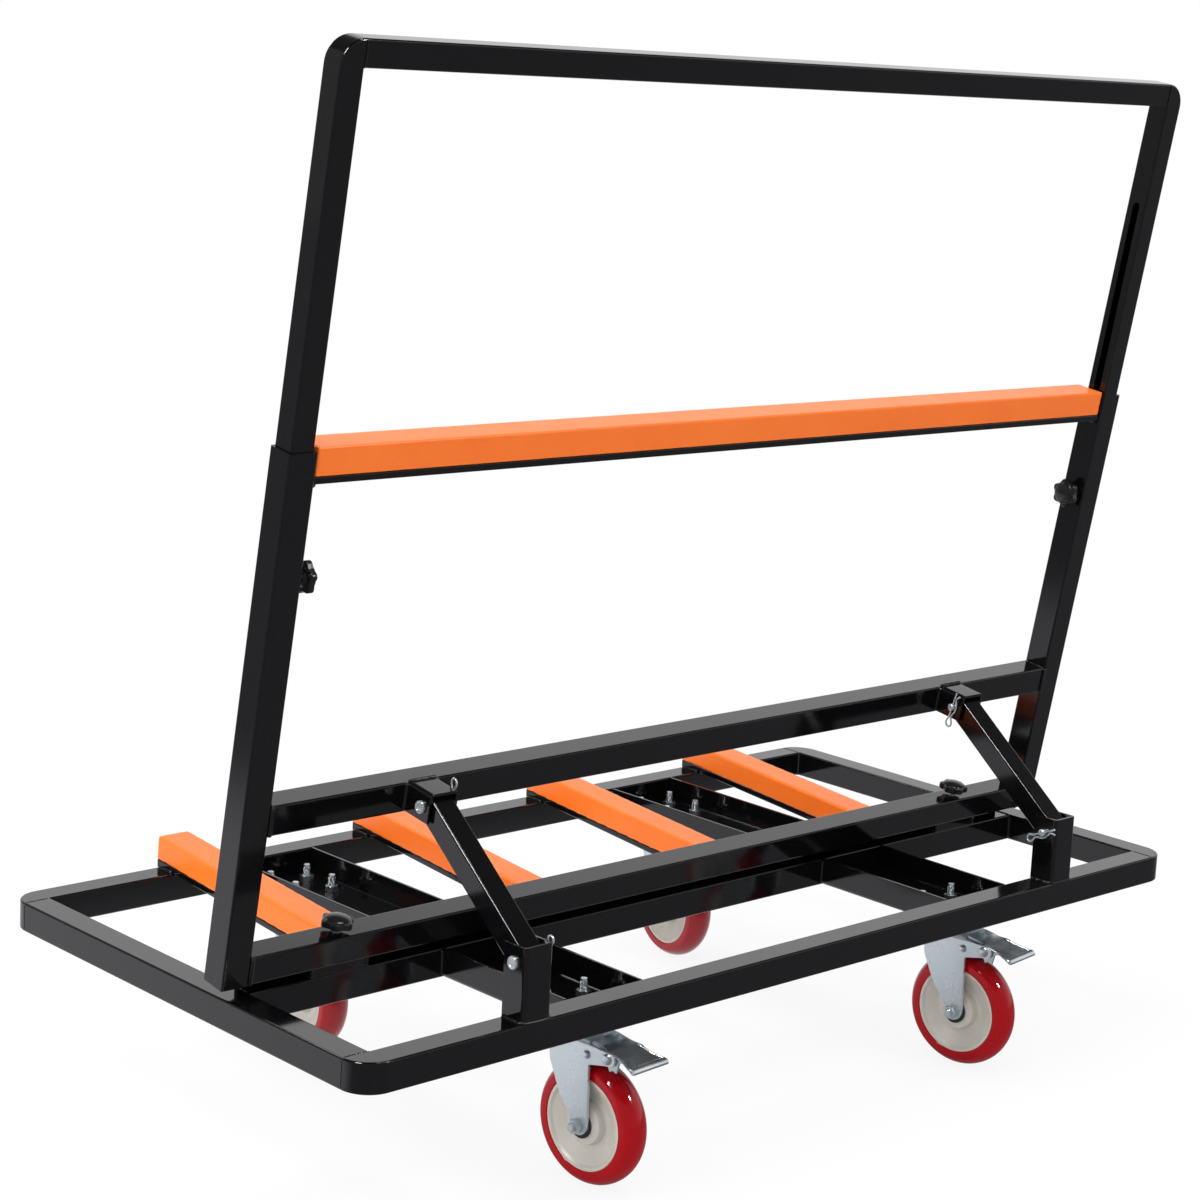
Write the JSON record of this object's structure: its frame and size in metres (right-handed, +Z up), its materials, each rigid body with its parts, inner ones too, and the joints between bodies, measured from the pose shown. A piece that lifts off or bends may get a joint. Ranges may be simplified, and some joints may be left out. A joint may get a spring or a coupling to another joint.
{
  "type": "drywall cart",
  "caption": "Tube-frame cart for sheet goods: sloping padded deck, leaning backrest with pull-up extension frame, braced by pinned struts, on swivel casters with brakes.",
  "frame": {"origin": "on the floor under the middle of the whole cart, brake pedals included", "axes": "+X along the cart to the right seen from the backrest side, +Y from the backrest side to the loading side, +Z up"},
  "size_m": [1.174, 0.6218, 1.0685],
  "materials": {
    "black_coat": "gloss powder coat",
    "zinc_plate": "bright zinc plate",
    "orange_pad": "matt skin",
    "red_tread": "gloss polyurethane",
    "hub_grey": "moulded",
    "knob_black": "moulded"
  },
  "bodies": {
    "frame": {"near_rail": "black_coat", "far_rail": "black_coat", "left_end_rail": "black_coat", "right_end_rail": "black_coat", "mid_beam": "black_coat", "near_channels": "black_coat", "far_channels": "black_coat", "deck_bars": "black_coat", "left_post": "black_coat", "right_post": "black_coat", "seat_blocks": "black_coat", "left_upright": "black_coat", "right_upright": "black_coat", "lower_rail": "black_coat", "middle_rail": "black_coat", "left_bracket": "black_coat", "right_bracket": "black_coat", "backrest_bar": "black_coat", "left_strut": "black_coat", "right_strut": "black_coat", "caster_plates": "zinc_plate", "caster_bolts": "zinc_plate", "caster_nuts": "zinc_plate", "knob_nuts": "zinc_plate", "strut_pins": "zinc_plate", "deck_pad_1": "orange_pad", "deck_pad_2": "orange_pad", "deck_pad_3": "orange_pad", "deck_pad_4": "orange_pad", "backrest_pad": "orange_pad"},
    "upper_frame": {"left_slide_tube": "black_coat", "right_slide_tube": "black_coat", "top_bar": "black_coat"},
    "left_height_knob": {"left_height_knob": "knob_black"},
    "left_base_knob": {"left_base_knob": "knob_black"},
    "left_lower_clip": {"left_lower_clip": "zinc_plate"},
    "left_upper_clip": {"left_upper_clip": "zinc_plate"},
    "right_height_knob": {"right_height_knob": "knob_black"},
    "right_base_knob": {"right_base_knob": "knob_black"},
    "right_lower_clip": {"right_lower_clip": "zinc_plate"},
    "right_upper_clip": {"right_upper_clip": "zinc_plate"},
    "near_left_swivel": {"near_left_fork": "zinc_plate", "near_left_axle": "zinc_plate"},
    "near_left_wheel": {"near_left_hub": "hub_grey", "near_left_tread": "red_tread"},
    "left_pedal": {"left_pedal": "zinc_plate"},
    "near_right_swivel": {"near_right_fork": "zinc_plate", "near_right_axle": "zinc_plate"},
    "near_right_wheel": {"near_right_hub": "hub_grey", "near_right_tread": "red_tread"},
    "right_pedal": {"right_pedal": "zinc_plate"},
    "far_left_swivel": {"far_left_fork": "zinc_plate", "far_left_axle": "zinc_plate"},
    "far_left_wheel": {"far_left_hub": "hub_grey", "far_left_tread": "red_tread"},
    "far_right_swivel": {"far_right_fork": "zinc_plate", "far_right_axle": "zinc_plate"},
    "far_right_wheel": {"far_right_hub": "hub_grey", "far_right_tread": "red_tread"}
  },
  "joints": [
    {"name": "height_slide", "type": "slide", "parent": "frame", "child": "upper_frame", "axis": [0, -0.159, 0.9873], "range_m": [-0.32, 0]},
    {"name": "left_height_knob_turn", "type": "hinge", "parent": "frame", "child": "left_height_knob", "pos_m": [-0.549, -0.11709, 0.59539], "axis": [1, 0, 0], "range_deg": [0, 540]},
    {"name": "left_base_knob_turn", "type": "hinge", "parent": "frame", "child": "left_base_knob", "pos_m": [-0.45, -0.05905, 0.23503], "axis": [0, -0.159, 0.9873], "range_deg": [0, 540]},
    {"name": "left_lower_clip_pull", "type": "slide", "parent": "frame", "child": "left_lower_clip", "axis": [0, -0.5736, 0.8192], "range_m": [0, 0.03]},
    {"name": "left_upper_clip_pull", "type": "slide", "parent": "frame", "child": "left_upper_clip", "axis": [0, -0.342, 0.9397], "range_m": [0, 0.03]},
    {"name": "right_height_knob_turn", "type": "hinge", "parent": "frame", "child": "right_height_knob", "pos_m": [0.549, -0.11709, 0.59539], "axis": [-1, 0, 0], "range_deg": [0, 540]},
    {"name": "right_base_knob_turn", "type": "hinge", "parent": "frame", "child": "right_base_knob", "pos_m": [0.45, -0.05905, 0.23503], "axis": [0, -0.159, 0.9873], "range_deg": [0, 540]},
    {"name": "right_lower_clip_pull", "type": "slide", "parent": "frame", "child": "right_lower_clip", "axis": [0, 0.9135, -0.4067], "range_m": [0, 0.03]},
    {"name": "right_upper_clip_pull", "type": "slide", "parent": "frame", "child": "right_upper_clip", "axis": [0, 0.3007, -0.9537], "range_m": [0, 0.03]},
    {"name": "near_left_swivel_turn", "type": "hinge", "parent": "frame", "child": "near_left_swivel", "pos_m": [-0.2735, -0.21411, 0.15], "axis": [0, 0, 1], "continuous": true},
    {"name": "near_left_wheel_roll", "type": "hinge", "parent": "near_left_swivel", "child": "near_left_wheel", "pos_m": [-0.2717, -0.23754, 0.0625], "axis": [0.9971, 0.0767, 0], "continuous": true},
    {"name": "left_pedal_press", "type": "hinge", "parent": "near_left_swivel", "child": "left_pedal", "pos_m": [-0.2691, -0.27124, 0.1385], "axis": [0.9971, 0.0767, 0], "range_deg": [0, 10]},
    {"name": "near_right_swivel_turn", "type": "hinge", "parent": "frame", "child": "near_right_swivel", "pos_m": [0.2735, -0.21411, 0.15], "axis": [0, 0, 1], "continuous": true},
    {"name": "near_right_wheel_roll", "type": "hinge", "parent": "near_right_swivel", "child": "near_right_wheel", "pos_m": [0.27653, -0.23741, 0.0625], "axis": [0.9917, 0.1288, 0], "continuous": true},
    {"name": "right_pedal_press", "type": "hinge", "parent": "near_right_swivel", "child": "right_pedal", "pos_m": [0.28088, -0.27093, 0.1385], "axis": [0.9917, 0.1288, 0], "range_deg": [0, 10]},
    {"name": "far_left_swivel_turn", "type": "hinge", "parent": "frame", "child": "far_left_swivel", "pos_m": [-0.2735, 0.23389, 0.15], "axis": [0, 0, 1], "continuous": true},
    {"name": "far_left_wheel_roll", "type": "hinge", "parent": "far_left_swivel", "child": "far_left_wheel", "pos_m": [-0.27596, 0.21052, 0.0625], "axis": [0.9945, -0.1045, 0], "continuous": true},
    {"name": "far_right_swivel_turn", "type": "hinge", "parent": "frame", "child": "far_right_swivel", "pos_m": [0.2735, 0.23389, 0.15], "axis": [0, 0, 1], "continuous": true},
    {"name": "far_right_wheel_roll", "type": "hinge", "parent": "far_right_swivel", "child": "far_right_wheel", "pos_m": [0.26982, 0.21068, 0.0625], "axis": [0.9877, -0.1564, 0], "continuous": true}
  ]
}
